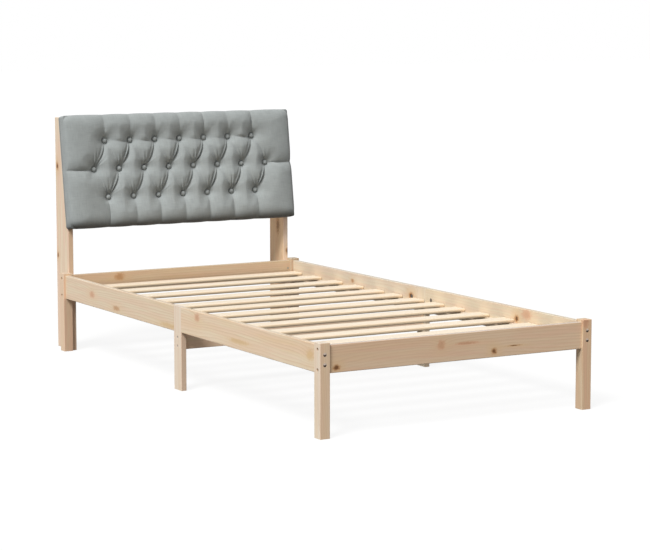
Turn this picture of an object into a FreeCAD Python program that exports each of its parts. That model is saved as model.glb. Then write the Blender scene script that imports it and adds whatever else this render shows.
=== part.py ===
import FreeCAD, Part
import math
import os
import Sketcher

# A single bed frame of solid softwood boards with a tufted headboard cushion.
# +X is to the right seen from the foot end, +Y towards the head, +Z up.
# The origin lies on the floor, in the middle of the whole length and width.

V = FreeCAD.Vector
doc = FreeCAD.newDocument("bed_frame")

driving_sizes = {
    # mattress space and rails
    "mattress_width": 1000,
    "mattress_length": 2000,
    "rail_thickness": 20,
    "rail_height": 91,
    "rail_underside": 208,
    "rail_inset": 7.5,
    "rail_rounding": 2.5,
    # legs, and the beam between the middle legs
    "leg_width": 36,
    "leg_depth": 39,
    "leg_length": 307,
    "leg_rounding": 1.5,
    "middle_leg_width": 58,
    "beam_height": 58,
    "beam_underside": 145,
    "beam_rounding": 2,
    # slats, and the ledgers that carry them
    "ledger_width": 20,
    "ledger_height": 18,
    "ledger_lift": 18,
    "ledger_end_gap": 2,
    "ledger_rounding": 1,
    "slat_width": 68,
    "slat_thickness": 12,
    "slat_end_gap": 2,
    "slat_rounding": 5,
    # head posts
    "post_thickness": 20,
    "post_depth": 117.5,
    "post_top_depth": 54,
    "post_length": 911,
    "post_slope_start": 470,
    "post_rounding": 1.5,
    # headboard panel, cushion and buttons
    "panel_thickness": 12,
    "panel_setback": 3,
    "cushion_lift": 8,
    "cushion_overhang": 4.5,
    "cushion_edge": 46,
    "cushion_corner": 30,
    "cushion_crown": 72,
    "cushion_round": 26,
    "cushion_swell": 3,
    "tuft_across": 109,
    "tuft_up": 111,
    "tuft_rise": 7,
    "tuft_depth": 24,
    "pleat_depth": 42,
    "edge_pleat_depth": 46,
    "edge_pleat_width": 12,
    "soft_clearance": 0.3,
    "button_diameter": 22,
    "button_sink": 2,
    "button_rim": 2.5,
    "button_dome": 6,
    # screws through the side faces of the corner legs
    "side_screw_head": 11,
    "side_screw_head_height": 4,
    "side_screw_shank": 6,
    "side_screw_length": 72,
    "side_screw_sink": 4,
    "side_screw_drive": 4,
    "side_screw_spread": 66,
    # screws through the front and back faces of the corner legs
    "face_screw_head": 13,
    "face_screw_head_height": 4,
    "face_screw_shank": 7,
    "face_screw_length": 70,
    "face_screw_sink": 1,
    "face_screw_drive": 6,
    "face_screw_spread": 33,
    # bolts, cam locks and dowels beside the middle legs
    "joint_bolt": 7,
    "joint_bolt_bite": 5,
    "cam_diameter": 15,
    "cam_depth": 12.5,
    "cam_setback": 38,
    "cam_lift": 50,
    "cam_drive": 6,
    "dowel_diameter": 8,
    "dowel_length": 30,
    "dowel_lift": 18,
    # screws of the cross beam
    "beam_screw_head": 9,
    "beam_screw_head_height": 4,
    "beam_screw_shank": 5,
    "beam_screw_length": 60,
    "beam_screw_sink": 1,
    "beam_screw_drive": 4,
    "beam_screw_spread": 32,
    # screws of the head posts
    "post_screw_head": 9,
    "post_screw_head_height": 4,
    "post_screw_shank": 5,
    "post_screw_length": 60,
    "post_screw_sink": 0.5,
    "post_screw_drive": 4,
    "post_screw_spread": 27,
    # screws of the ledgers
    "ledger_screw_head": 8,
    "ledger_screw_head_height": 3.5,
    "ledger_screw_shank": 4,
    "ledger_screw_length": 34,
    "ledger_screw_sink": 0.5,
    "ledger_screw_drive": 3.5,
    # screws of the slats
    "slat_screw_head": 7,
    "slat_screw_head_height": 3,
    "slat_screw_shank": 3.5,
    "slat_screw_length": 26,
    "slat_screw_sink": 0.5,
    "slat_screw_drive": 3,
    # bolts and tee nuts that hold the headboard
    "board_bolt_head": 11,
    "board_bolt_head_height": 4,
    "board_bolt_shank": 6,
    "board_bolt_grip": 30,
    "board_bolt_drive": 5,
    "tee_nut_flange": 16,
    "tee_nut_flange_height": 1.5,
    "tee_nut_barrel": 9,
    "tee_nut_length": 10,
    # shared by the drilled holes and the drives in the heads
    "hole_clearance": 0.15,
    "drive_depth": 2,
    "cut_overrun": 3,
}

# places of the slats, from the head, as shares of the mattress length
slat_place_shares = (
    0.973, 0.8915, 0.807, 0.7265, 0.649, 0.5825, 0.5055, 0.437, 0.367, 0.288, 0.211, 0.135, 0.06,
)
# places of the ledger screws, as shares of the length of each half of the mattress space
foot_ledger_screw_shares = (0.06, 0.2, 0.5, 0.8, 0.94)
head_ledger_screw_shares = (0.09, 0.25, 0.51, 0.74, 0.92)
# places of the headboard bolts, as shares of the cushion's length
board_bolt_shares = (0.2, 0.86)

sheet = doc.addObject("Spreadsheet::Sheet", "sizes")
for row, (alias, value) in enumerate(driving_sizes.items(), start=1):
    sheet.set("A%d" % row, alias)
    sheet.set("B%d" % row, str(value))
    sheet.setAlias("B%d" % row, alias)
doc.recompute()


def now(text):
    """The present value of an expression of the driving sizes."""
    return float(sheet.evalExpression(text))


def bind(obj, **texts):
    """Bind properties to expressions; a double underscore stands for a dot."""
    for name, text in texts.items():
        obj.setExpression(name.replace("__", "."), text)


def bind_place(obj, x, y, z):
    """Bind the place of an object to three expressions."""
    bind(obj, Placement__Base__x=x, Placement__Base__y=y, Placement__Base__z=z)


# Places that several pieces share, as expressions of the driving sizes
whole_length = "(sizes.rail_inset + 2 * sizes.rail_thickness + sizes.mattress_length + sizes.post_depth)"
foot_face = "(-%s / 2)" % whole_length
foot_rail_face = "(%s + sizes.rail_inset)" % foot_face
space_foot = "(%s + sizes.rail_thickness)" % foot_rail_face
space_head = "(%s + sizes.mattress_length)" % space_foot
post_line = "(%s + sizes.rail_thickness)" % space_head
head_leg_back = "(%s + sizes.rail_inset)" % post_line
head_leg_front = "(%s - sizes.leg_depth)" % head_leg_back
foot_leg_back = "(%s + sizes.leg_depth)" % foot_face
middle_y = "((%s + %s) / 2)" % (space_foot, space_head)
middle_leg_foot = "(%s - sizes.middle_leg_width / 2)" % middle_y
middle_leg_head = "(%s + sizes.middle_leg_width / 2)" % middle_y
half_space = "(sizes.mattress_width / 2)"
rail_outer = "(%s + sizes.rail_thickness)" % half_space
leg_outer = "(%s + sizes.rail_inset)" % rail_outer
leg_inner = "(%s - sizes.leg_width)" % leg_outer
post_inner = "(%s - sizes.post_thickness)" % leg_inner
post_middle_x = "(%s - sizes.post_thickness / 2)" % leg_inner
rail_middle_x = "(%s + sizes.rail_thickness / 2)" % half_space
rail_middle_z = "(sizes.rail_underside + sizes.rail_height / 2)"
ledger_underside = "(sizes.rail_underside + sizes.ledger_lift)"
ledger_top = "(%s + sizes.ledger_height)" % ledger_underside

# The two sides of the bed, each with the sign of its X
sides = (("left", -1), ("right", 1))


def signed(sign, text):
    """An expression for the left or the right side."""
    return "(-%s)" % text if sign < 0 else text


def low_x(sign, inner, outer):
    """The lower X of a board that spans from inner to outer on one side."""
    return signed(sign, outer) if sign < 0 else inner


# The boards by node name, and the holes to be drilled in each
boards = {}
drills = {}


def new_outline(label, role, points):
    """A body with a sketch of straight lines through the points, on one of its origin planes."""
    body = doc.addObject("PartDesign::Body", label + "_board")
    outline = body.newObject("Sketcher::SketchObject", label + "_outline")
    plane = [f for f in body.Origin.OriginFeatures if f.Role == role][0]
    outline.AttachmentSupport = [(plane, "")]
    outline.MapMode = "FlatFace"
    corners = [V(now(x), now(y), 0) for x, y in points]
    count = len(corners)
    for i in range(count):
        outline.addGeometry(Part.LineSegment(corners[i], corners[(i + 1) % count]), False)
    for i in range(count):
        outline.addConstraint(Sketcher.Constraint("Coincident", i, 2, (i + 1) % count, 1))
    for i, texts in enumerate(points):
        for way, text in zip("XY", texts):
            corner_place = Sketcher.Constraint("Distance" + way, -1, 1, i, 1, now(text))
            index = outline.addConstraint(corner_place)
            name = "corner_%d_%s" % (i, way)
            outline.renameConstraint(index, name)
            outline.setExpression("Constraints." + name, text)
    return body, outline


def rounded_pad(label, body, outline, thickness, rounding, wanted):
    """The outline padded to its thickness, with the wanted edges rounded."""
    pad = body.newObject("PartDesign::Pad", label + "_pad")
    pad.Profile = outline
    bind(pad, Length=thickness)
    doc.recompute()
    edges = ["Edge%d" % n for n, edge in enumerate(pad.Shape.Edges, start=1) if wanted(edge)]
    rounded = body.newObject("PartDesign::Fillet", label + "_rounding")
    rounded.Base = (pad, edges)
    bind(rounded, Radius=rounding)
    body.Tip = rounded
    boards[label] = body
    drills[label] = []


def along(axis):
    """A test for straight edges that run along an axis."""
    def runs(edge):
        way = edge.tangentAt(edge.FirstParameter)
        return abs(way.dot(axis)) > math.cos(math.radians(1))
    return runs


def board(label, wide, deep, high, place, rounding, wanted):
    """A straight board with its lower left front corner at its place."""
    points = (("0", "0"), (wide, "0"), (wide, deep), ("0", deep))
    body, outline = new_outline(label, "XY_Plane", points)
    rounded_pad(label, body, outline, high, rounding, wanted)
    bind_place(body, *place)


def leg_edges(edge):
    """The upright edges of a leg, and those round its top."""
    return edge.BoundBox.ZMax > now("sizes.leg_length / 2")


# Corner legs
for side, sign in sides:
    for end, y in (("foot", foot_face), ("head", head_leg_front)):
        board(
            "leg_%s_%s" % (end, side), "sizes.leg_width", "sizes.leg_depth", "sizes.leg_length",
            (low_x(sign, leg_inner, leg_outer), y, "0"), "sizes.leg_rounding", leg_edges,
        )

# Rails across the foot and the head, between the corner legs
for label, y in (("foot_rail", foot_rail_face), ("head_rail", space_head)):
    board(
        label, "2 * " + leg_inner, "sizes.rail_thickness", "sizes.rail_height",
        (signed(-1, leg_inner), y, "sizes.rail_underside"), "sizes.rail_rounding", along(V(1, 0, 0)),
    )

# Side rails in two halves, each with a ledger that runs on to the middle of the bed
halves = {
    "foot": (foot_leg_back, middle_leg_foot, middle_y),
    "head": (middle_leg_head, head_leg_front, middle_y),
}
for side, sign in sides:
    for end, (start, stop, middle) in halves.items():
        board(
            "side_rail_%s_%s" % (side, end),
            "sizes.rail_thickness", "(%s - %s)" % (stop, start), "sizes.rail_height",
            (low_x(sign, half_space, rail_outer), start, "sizes.rail_underside"),
            "sizes.rail_rounding", along(V(0, 1, 0)),
        )
        ledger_start, ledger_stop = (start, middle) if end == "foot" else (middle, stop)
        board(
            "slat_ledger_%s_%s" % (side, end), "sizes.ledger_width",
            "(%s - %s - 2 * sizes.ledger_end_gap)" % (ledger_stop, ledger_start),
            "sizes.ledger_height",
            (
                low_x(sign, "(%s - sizes.ledger_width)" % half_space, half_space),
                "(%s + sizes.ledger_end_gap)" % ledger_start,
                ledger_underside,
            ),
            "sizes.ledger_rounding", along(V(0, 1, 0)),
        )

# Middle legs in line with the side rails, and the beam between them
for side, sign in sides:
    board(
        "middle_leg_" + side, "sizes.rail_thickness", "sizes.middle_leg_width",
        "(sizes.rail_underside + sizes.rail_height)",
        (low_x(sign, half_space, rail_outer), middle_leg_foot, "0"),
        "sizes.leg_rounding", along(V(0, 0, 1)),
    )
board(
    "middle_cross_beam", "sizes.mattress_width", "sizes.rail_thickness", "sizes.beam_height",
    (signed(-1, half_space), "(%s - sizes.rail_thickness / 2)" % middle_y, "sizes.beam_underside"),
    "sizes.beam_rounding", along(V(1, 0, 0)),
)

# Slats, numbered from the head
slat_middles = ["(%s + %s * sizes.mattress_length)" % (space_foot, s) for s in slat_place_shares]
for number, slat_middle in enumerate(slat_middles, start=1):
    board(
        "slat_%02d" % number, "(sizes.mattress_width - 2 * sizes.slat_end_gap)",
        "sizes.slat_width", "sizes.slat_thickness",
        (
            "(-%s + sizes.slat_end_gap)" % half_space,
            "(%s - sizes.slat_width / 2)" % slat_middle,
            ledger_top,
        ),
        "sizes.slat_rounding", along(V(1, 0, 0)),
    )

# Head posts: each stands behind the head rail on a shoulder, and its front slopes back at the top
post_outline = (
    ("-sizes.rail_thickness", "0"),
    ("sizes.post_depth", "0"),
    ("sizes.post_depth", "sizes.post_length"),
    ("sizes.post_depth - sizes.post_top_depth", "sizes.post_length"),
    ("0", "sizes.post_slope_start"),
    ("0", "sizes.rail_underside"),
    ("-sizes.rail_thickness", "sizes.rail_underside"),
)
for side, sign in sides:
    label = "head_post_" + side
    body, outline = new_outline(label, "YZ_Plane", post_outline)
    rounded_pad(
        label, body, outline, "sizes.post_thickness", "sizes.post_rounding",
        lambda edge: not along(V(1, 0, 0))(edge),
    )
    bind_place(body, low_x(sign, post_inner, leg_inner), post_line, "0")


# Fasteners: each kind is modelled once along +Z, with a drill of its form and a little clearance
def cylinder(name, radius, height, start):
    """A cylinder along +Z."""
    rod = doc.addObject("Part::Cylinder", name)
    bind(rod, Radius=radius, Height=height, Placement__Base__z=start)
    return rod


def fused(name, pieces):
    """Several pieces joined into one."""
    joined = doc.addObject("Part::MultiFuse", name)
    joined.Shapes = pieces
    return joined


def cut(name, base, tool):
    """One piece with another taken away from it."""
    rest = doc.addObject("Part::Cut", name)
    rest.Base = base
    rest.Tool = tool
    return rest


def with_drive(kind, joined, head_top):
    """A fastener with a six-sided drive sunk into its head."""
    drive = doc.addObject("Part::Prism", kind + "_drive_form")
    drive.Polygon = 6
    bind(
        drive, Circumradius="sizes.%s_drive / 2" % kind,
        Height="sizes.drive_depth + sizes.cut_overrun",
        Placement__Base__z="%s - sizes.cut_overrun" % head_top,
    )
    return cut(kind + "_form", joined, drive)


def screw_parts(kind, conical, name, gap):
    """The head and the shank of a screw, grown by a gap; the wood's face is at the origin."""
    sizes_of = "sizes.%s_" % kind
    head_radius = "(%shead / 2 + %s)" % (sizes_of, gap)
    shank_radius = "(%sshank / 2 + %s)" % (sizes_of, gap)
    head_start = sizes_of + "sink"
    head_end = "(%ssink + %shead_height)" % (sizes_of, sizes_of)
    shank_length = "(%slength - %shead_height + %s)" % (sizes_of, sizes_of, gap)
    if conical:
        head = doc.addObject("Part::Cone", name + "_head")
        bind(head, Radius1=head_radius, Radius2=shank_radius, Height=sizes_of + "head_height",
             Placement__Base__z=head_start)
    else:
        head = cylinder(name + "_head", head_radius, sizes_of + "head_height", head_start)
    return [head, cylinder(name + "_shank", shank_radius, shank_length, head_end)]


def screw(kind, conical):
    """A screw, and the drill that makes room for it."""
    body = fused(kind + "_body", screw_parts(kind, conical, kind, "0"))
    pieces = screw_parts(kind, conical, kind + "_drill", "sizes.hole_clearance")
    pieces.append(cylinder(
        kind + "_drill_mouth", "(sizes.%s_head / 2 + sizes.hole_clearance)" % kind,
        "(sizes.%s_sink + sizes.cut_overrun)" % kind, "-sizes.cut_overrun",
    ))
    return with_drive(kind, body, "sizes.%s_sink" % kind), fused(kind + "_drill", pieces)


def rod(kind, diameter, length):
    """A plain rod centred on the origin, and the drill that makes room for it."""
    start = "-%s / 2" % length
    body = cylinder(kind + "_rod", diameter + " / 2", length, start)
    room = "(%s + 2 * sizes.hole_clearance)" % length
    radius = "(%s / 2 + sizes.hole_clearance)" % diameter
    return body, cylinder(kind + "_drill", radius, room, "-%s / 2" % room)


def cam_lock():
    """A disc with a drive, notched on two sides for the bolt, and the drill for it."""
    disc = cylinder("cam_disc", "sizes.cam_diameter / 2", "sizes.cam_depth", "0")
    notch_start = "(sizes.cam_diameter / 2 - sizes.joint_bolt_bite - sizes.hole_clearance)"
    notches = []
    for way in (1, -1):
        notch = doc.addObject("Part::Cylinder", "cam_notch")
        notch.Placement = FreeCAD.Placement(V(0, 0, 0), FreeCAD.Rotation(V(0, 0, 1), V(0, way, 0)))
        bind(notch, Radius="sizes.joint_bolt / 2 + sizes.hole_clearance",
             Height="sizes.joint_bolt_bite + sizes.cut_overrun")
        bind_place(notch, "0", "%d * %s" % (way, notch_start), "sizes.rail_thickness / 2")
        notches.append(notch)
    notched = cut("cam_notched", disc, fused("cam_notches", notches))
    drill = cylinder(
        "cam_drill", "(sizes.cam_diameter / 2 + sizes.hole_clearance)",
        "(sizes.cam_depth + sizes.hole_clearance + sizes.cut_overrun)", "-sizes.cut_overrun",
    )
    return with_drive("cam", notched, "0"), drill


def board_bolt():
    """A headboard bolt with its head's seat at the origin, and the drill for it."""
    head = cylinder("board_bolt_head", "sizes.board_bolt_head / 2", "sizes.board_bolt_head_height",
                    "-sizes.board_bolt_head_height")
    shank = cylinder("board_bolt_shank", "sizes.board_bolt_shank / 2",
                     "(sizes.board_bolt_grip + sizes.tee_nut_length)", "0")
    way = cylinder("board_bolt_way", "(sizes.board_bolt_shank / 2 + sizes.hole_clearance)",
                   "(sizes.board_bolt_grip + sizes.cut_overrun)", "-sizes.hole_clearance")
    mouth = cylinder("board_bolt_mouth", "(sizes.board_bolt_head / 2 + sizes.hole_clearance)",
                     "sizes.post_depth", "-sizes.post_depth")
    body = fused("board_bolt_body", [head, shank])
    return (with_drive("board_bolt", body, "-sizes.board_bolt_head_height"),
            fused("board_bolt_drill", [way, mouth]))


def tee_nut():
    """A threaded barrel with a flange at its far end, and the drill for it."""
    flange_start = "(sizes.tee_nut_length - sizes.tee_nut_flange_height)"
    flange = cylinder("tee_nut_flange_disc", "sizes.tee_nut_flange / 2",
                      "sizes.tee_nut_flange_height", flange_start)
    barrel = cylinder("tee_nut_barrel_rod", "sizes.tee_nut_barrel / 2", "sizes.tee_nut_length", "0")
    bore = cylinder("tee_nut_bore", "(sizes.board_bolt_shank / 2 + sizes.hole_clearance)",
                    "(sizes.tee_nut_length + 2 * sizes.cut_overrun)", "-sizes.cut_overrun")
    seat = cylinder("tee_nut_seat", "(sizes.tee_nut_flange / 2 + sizes.hole_clearance)",
                    "(sizes.tee_nut_flange_height + sizes.cut_overrun)", flange_start)
    way = cylinder("tee_nut_way", "(sizes.tee_nut_barrel / 2 + sizes.hole_clearance)",
                   "(sizes.panel_thickness + sizes.tee_nut_length)", "-sizes.panel_thickness")
    return (cut("tee_nut", fused("tee_nut_body", [flange, barrel]), bore),
            fused("tee_nut_drill", [seat, way]))


def button():
    """A covered button: a short rim under a shallow dome. It needs no drill."""
    rim = cylinder("button_rim_disc", "sizes.button_diameter / 2", "sizes.button_rim", "0")
    dome = doc.addObject("Part::Sphere", "button_dome_cap")
    radius = "((sizes.button_diameter ^ 2 / 4 + sizes.button_dome ^ 2) / (2 * sizes.button_dome))"
    bind(
        dome, Radius=radius, Angle1="asin(1 - sizes.button_dome / %s)" % radius,
        Placement__Base__z="sizes.button_rim + sizes.button_dome - " + radius,
    )
    return fused("button_form", [rim, dome]), None


joint_bolt_length = (
    "(sizes.middle_leg_width + 2 * (sizes.cam_setback - sizes.cam_diameter / 2 + sizes.joint_bolt_bite))"
)
kinds = {
    "leg_side_screws": screw("side_screw", False),
    "leg_face_screws": screw("face_screw", False),
    "cross_beam_screws": screw("beam_screw", True),
    "head_post_screws": screw("post_screw", True),
    "ledger_screws": screw("ledger_screw", True),
    "slat_screws": screw("slat_screw", True),
    "rail_joint_bolts": rod("joint_bolt", "sizes.joint_bolt", joint_bolt_length),
    "rail_dowels": rod("dowel", "sizes.dowel_diameter", "sizes.dowel_length"),
    "rail_cam_locks": cam_lock(),
    "headboard_bolts": board_bolt(),
    "headboard_tee_nuts": tee_nut(),
    "cushion_buttons": button(),
}
groups = {group: [] for group in kinds}


def copy_of(form, name, axis):
    """A linked copy of a form, turned so that its +Z points along an axis."""
    link = doc.addObject("App::Link", name)
    link.LinkedObject = form
    link.LinkTransform = True
    link.Placement = FreeCAD.Placement(V(0, 0, 0), FreeCAD.Rotation(V(0, 0, 1), axis))
    return link


def fasten(group, place, axis, through):
    """One fastener with its face point at a place, and its drill in the boards that it goes through."""
    form, drill_form = kinds[group]
    name = "%s_%d" % (group, len(groups[group]) + 1)
    fastener = copy_of(form, name, axis)
    bind_place(fastener, *place)
    groups[group].append(fastener)
    if through:
        drill = copy_of(drill_form, name + "_drill", axis)
        bind_place(drill, *place)
    for label in through:
        drills[label].append(drill)


foot_rail_middle = "(%s + sizes.rail_thickness / 2)" % foot_rail_face
head_rail_middle = "(%s + sizes.rail_thickness / 2)" % space_head
ends = (
    ("foot", foot_rail_middle, foot_face, V(0, 1, 0)),
    ("head", head_rail_middle, head_leg_back, V(0, -1, 0)),
)
ledger_shares = {"foot": foot_ledger_screw_shares, "head": head_ledger_screw_shares}
beam_middle_z = "(sizes.beam_underside + sizes.beam_height / 2)"
cam_z = "(sizes.rail_underside + sizes.cam_lift)"
dowel_z = "(sizes.rail_underside + sizes.dowel_lift)"

for side, sign in sides:
    inward = V(-sign, 0, 0)
    outward = V(sign, 0, 0)
    middle_leg = "middle_leg_" + side
    rails = {end: "side_rail_%s_%s" % (side, end) for end in halves}
    ledgers = {end: "slat_ledger_%s_%s" % (side, end) for end in halves}
    for end, rail_y, face_y, into_rail in ends:
        leg = "leg_%s_%s" % (end, side)
        for way in (1, -1):
            z = "(%s + %d * sizes.side_screw_spread / 2)" % (rail_middle_z, way)
            fasten("leg_side_screws", (signed(sign, leg_outer), rail_y, z), inward,
                   (leg, end + "_rail"))
            z = "(%s + %d * sizes.face_screw_spread / 2)" % (rail_middle_z, way)
            fasten("leg_face_screws", (signed(sign, rail_middle_x), face_y, z), into_rail,
                   (leg, rails[end]))
    for way in (1, -1):
        z = "(%s + %d * sizes.beam_screw_spread / 2)" % (beam_middle_z, way)
        fasten("cross_beam_screws", (signed(sign, rail_outer), middle_y, z), inward,
               (middle_leg, "middle_cross_beam"))
        z = "(%s + %d * sizes.post_screw_spread / 2)" % (rail_middle_z, way)
        fasten("head_post_screws", (signed(sign, post_middle_x), space_head, z), V(0, 1, 0),
               ("head_rail", "head_post_" + side))
    ledger_face = signed(sign, "(%s - sizes.ledger_width)" % half_space)
    ledger_middle_z = "(%s + sizes.ledger_height / 2)" % ledger_underside
    for end, shares in ledger_shares.items():
        start = space_foot if end == "foot" else middle_y
        for share in shares:
            y = "(%s + %s * sizes.mattress_length / 2)" % (start, share)
            fasten("ledger_screws", (ledger_face, y, ledger_middle_z), outward,
                   (ledgers[end], rails[end]))
    ledger_middle_x = signed(sign, "(%s - sizes.ledger_width / 2)" % half_space)
    slat_top = "(%s + sizes.slat_thickness)" % ledger_top
    for number, slat_middle in enumerate(slat_middles, start=1):
        end = "foot" if now(slat_middle) < now(middle_y) else "head"
        fasten("slat_screws", (ledger_middle_x, slat_middle, slat_top), V(0, 0, -1),
               ("slat_%02d" % number, ledgers[end]))
    rail_x = signed(sign, rail_middle_x)
    fasten("rail_joint_bolts", (rail_x, middle_y, cam_z), V(0, 1, 0),
           (middle_leg, rails["foot"], rails["head"]))
    for end, face, way in (("foot", middle_leg_foot, -1), ("head", middle_leg_head, 1)):
        cam_y = "(%s + %d * sizes.cam_setback)" % (face, way)
        fasten("rail_cam_locks", (signed(sign, half_space), cam_y, cam_z), outward, (rails[end],))
        fasten("rail_dowels", (rail_x, face, dowel_z), V(0, 1, 0), (middle_leg, rails[end]))

# Headboard. Its places are given across, out of its front, and up the slope of the posts. The
# cushion is as wide as the mattress space, and stands a little above the end of the slope.
slope_run = "(sizes.post_depth - sizes.post_top_depth)"
slope_rise = "(sizes.post_length - sizes.post_slope_start)"
slope = "atan2(%s; %s)" % (slope_run, slope_rise)
cushion_top = "(hypot(%s; %s) + sizes.cushion_overhang)" % (slope_run, slope_rise)
cushion_length = "(%s - sizes.cushion_lift)" % cushion_top
tilt = float(sheet.evalExpression(slope).Value)
headboard_turn = FreeCAD.Rotation(V(1, 0, 0), -tilt)
outward_normal = headboard_turn.multVec(V(0, -1, 0))


def on_slope(x, out, up):
    """The three expressions of a place in front of the posts."""
    y = "(%s + (%s) * sin(%s) - (%s) * cos(%s))" % (post_line, up, slope, out, slope)
    z = "(sizes.post_slope_start + (%s) * cos(%s) + (%s) * sin(%s))" % (up, slope, out, slope)
    return x, y, z


# Panel behind the cushion, bolted to the posts through tee nuts
panel = doc.addObject("Part::Box", "panel_board")
panel.Placement = FreeCAD.Placement(V(0, 0, 0), headboard_turn)
bind(
    panel, Length="sizes.mattress_width - 2 * sizes.panel_setback", Width="sizes.panel_thickness",
    Height="%s - 2 * sizes.panel_setback" % cushion_length,
)
bind_place(panel, *on_slope(
    "sizes.panel_setback - %s" % half_space, "sizes.panel_thickness",
    "sizes.cushion_lift + sizes.panel_setback",
))
boards["headboard_panel"] = panel
drills["headboard_panel"] = []
for side, sign in sides:
    bolt_x = signed(sign, post_middle_x)
    for share in board_bolt_shares:
        up = "sizes.cushion_lift + %s * %s" % (share, cushion_length)
        fasten("headboard_bolts", on_slope(bolt_x, "-sizes.board_bolt_grip", up), outward_normal,
               ("head_post_" + side,))
        nut_start = "sizes.panel_thickness - sizes.tee_nut_length"
        fasten("headboard_tee_nuts", on_slope(bolt_x, nut_start, up), outward_normal,
               ("headboard_panel",))

# Buttons of the cushion, in three rows: the middle row is half a column out of step
row_steps = (1, 0, -1)
row_counts = (7, 8, 7)
middle_row = "((sizes.cushion_lift + %s) / 2 + sizes.tuft_rise)" % cushion_top
button_places = []
for step, count in zip(row_steps, row_counts):
    for column in range(count):
        across = "(%s * sizes.tuft_across)" % (column - (count - 1) / 2)
        up = "(%s + %d * sizes.tuft_up)" % (middle_row, step)
        button_places.append((across, up))
        seat = on_slope(across, "sizes.tuft_depth - sizes.button_sink", up)
        fasten("cushion_buttons", seat, outward_normal, ())

# Cushion: cross-sections along X, each a closed line of straight edges and arcs. The front of a
# section is three arcs that meet at two pleats. The pleats run from button to button, so the
# surfaces between the sections are diamond-shaped pillows.
button_half = now("sizes.button_diameter / 2")
crown = now("sizes.cushion_crown")
seat_out = now("sizes.tuft_depth")
edge_out = now("sizes.cushion_edge")
edge_pleat = now("sizes.edge_pleat_depth")
swell = now("sizes.cushion_swell")
back_out = now("sizes.soft_clearance")
cushion_low = now("sizes.cushion_lift")
cushion_high = now(cushion_top)
row_middle = now(middle_row)
quarter_turn = math.pi / 2
# how far the hollow between two pleats stands out beyond them where the cushion is drawn in,
# and how much of its swell the drawn-in edge keeps, as shares
hollow_rise_share = 0.04
drawn_swell_share = 0.5
# places of the sections between two columns of buttons, and between the last one and the rounded end
column_step_shares = (0, 0.25, 0.5, 0.75)
end_step_shares = (0.3, 1)
# columns of buttons from the middle of the cushion to its end, and sections of the rounded end
half_columns = 7
round_steps = 4


def mix(start, end, share):
    """The value between two others at a share of the way."""
    return start + (end - start) * share


def section(x, edge, half_gap, pleat, middle, beside, draw, bulge):
    """One closed cross-section.

    edge is the thickness at the top and bottom edges. The two pleats lie half_gap from the
    middle row and are pleat thick. middle and beside are the thicknesses of the pillows between
    and beside them. draw pulls the top and bottom in, and bulge swells them between front and back.
    """
    low = cushion_low + draw
    high = cushion_high - draw
    lower = row_middle - half_gap
    upper = row_middle + half_gap
    arcs = (
        ((back_out, low), (edge / 2, low - bulge), (edge, low)),
        ((edge, low), (beside, (low + lower) / 2), (pleat, lower)),
        ((pleat, lower), (middle, (lower + upper) / 2), (pleat, upper)),
        ((pleat, upper), (beside, (upper + high) / 2), (edge, high)),
        ((edge, high), (edge / 2, high + bulge), (back_out, high)),
    )
    edges = [Part.makeLine(V(x, -back_out, high), V(x, -back_out, low))]
    for points in arcs:
        edges.append(Part.Arc(*(V(x, -out, up) for out, up in points)).toShape())
    return Part.Wire(edges)


def tufted_section(x, share):
    """A section of the tufted field: share is 0 at an outer-row button and 1 at a middle-row one."""
    fall = math.cos(quarter_turn * share)
    rise = math.sin(quarter_turn * share)
    pleat = mix(seat_out, now("sizes.pleat_depth"), math.sin(math.pi * share))
    middle = mix(seat_out * (1 + hollow_rise_share), crown, fall)
    beside = mix(edge_pleat, crown, rise)
    half_gap = mix(now("sizes.tuft_up"), button_half, share)
    bulge = swell * mix(drawn_swell_share, 1, rise)
    return section(x, edge_out, half_gap, pleat, middle, beside, 0, bulge)


def end_section(x, pleat, roll):
    """A section beyond the last button, where the end of the cushion rolls off by an angle."""
    corner = now("sizes.cushion_corner")
    full = math.cos(roll)
    pleat_now = mix(corner, pleat, full)
    draw = now("sizes.cushion_round") * (1 - full) / 2
    return section(
        x, mix(corner, edge_out, full), now("sizes.edge_pleat_width / 2"), pleat_now,
        pleat_now * (1 + hollow_rise_share), mix(corner * (1 + hollow_rise_share), crown, full),
        draw, swell * mix(drawn_swell_share, 1, full),
    )


# Sections run from the middle to the right end, and the left half is their mirror image.
column_half = now("sizes.tuft_across / 2")
profile = []
for column in range(half_columns):
    for share in column_step_shares:
        x = column_half * (column + share)
        profile.append((x, tufted_section(x, share if column % 2 == 0 else 1 - share)))
last_column = column_half * half_columns
profile.append((last_column, tufted_section(last_column, 1)))

cushion_end = now(half_space)
round_start = cushion_end - now("sizes.cushion_round")
for share in end_step_shares:
    x = mix(last_column, round_start, share)
    profile.append((x, end_section(x, edge_pleat, 0)))
for step in range(1, round_steps + 1):
    roll = quarter_turn * step / round_steps
    x = mix(round_start, cushion_end, math.sin(roll))
    profile.append((x, end_section(x, edge_pleat, roll)))

flip = FreeCAD.Matrix()
flip.A11 = -1
mirrored = [wire.transformGeometry(flip) for x, wire in reversed(profile) if x > 0]
cushion_body = Part.makeLoft(mirrored + [wire for x, wire in profile], True, True)

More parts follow.
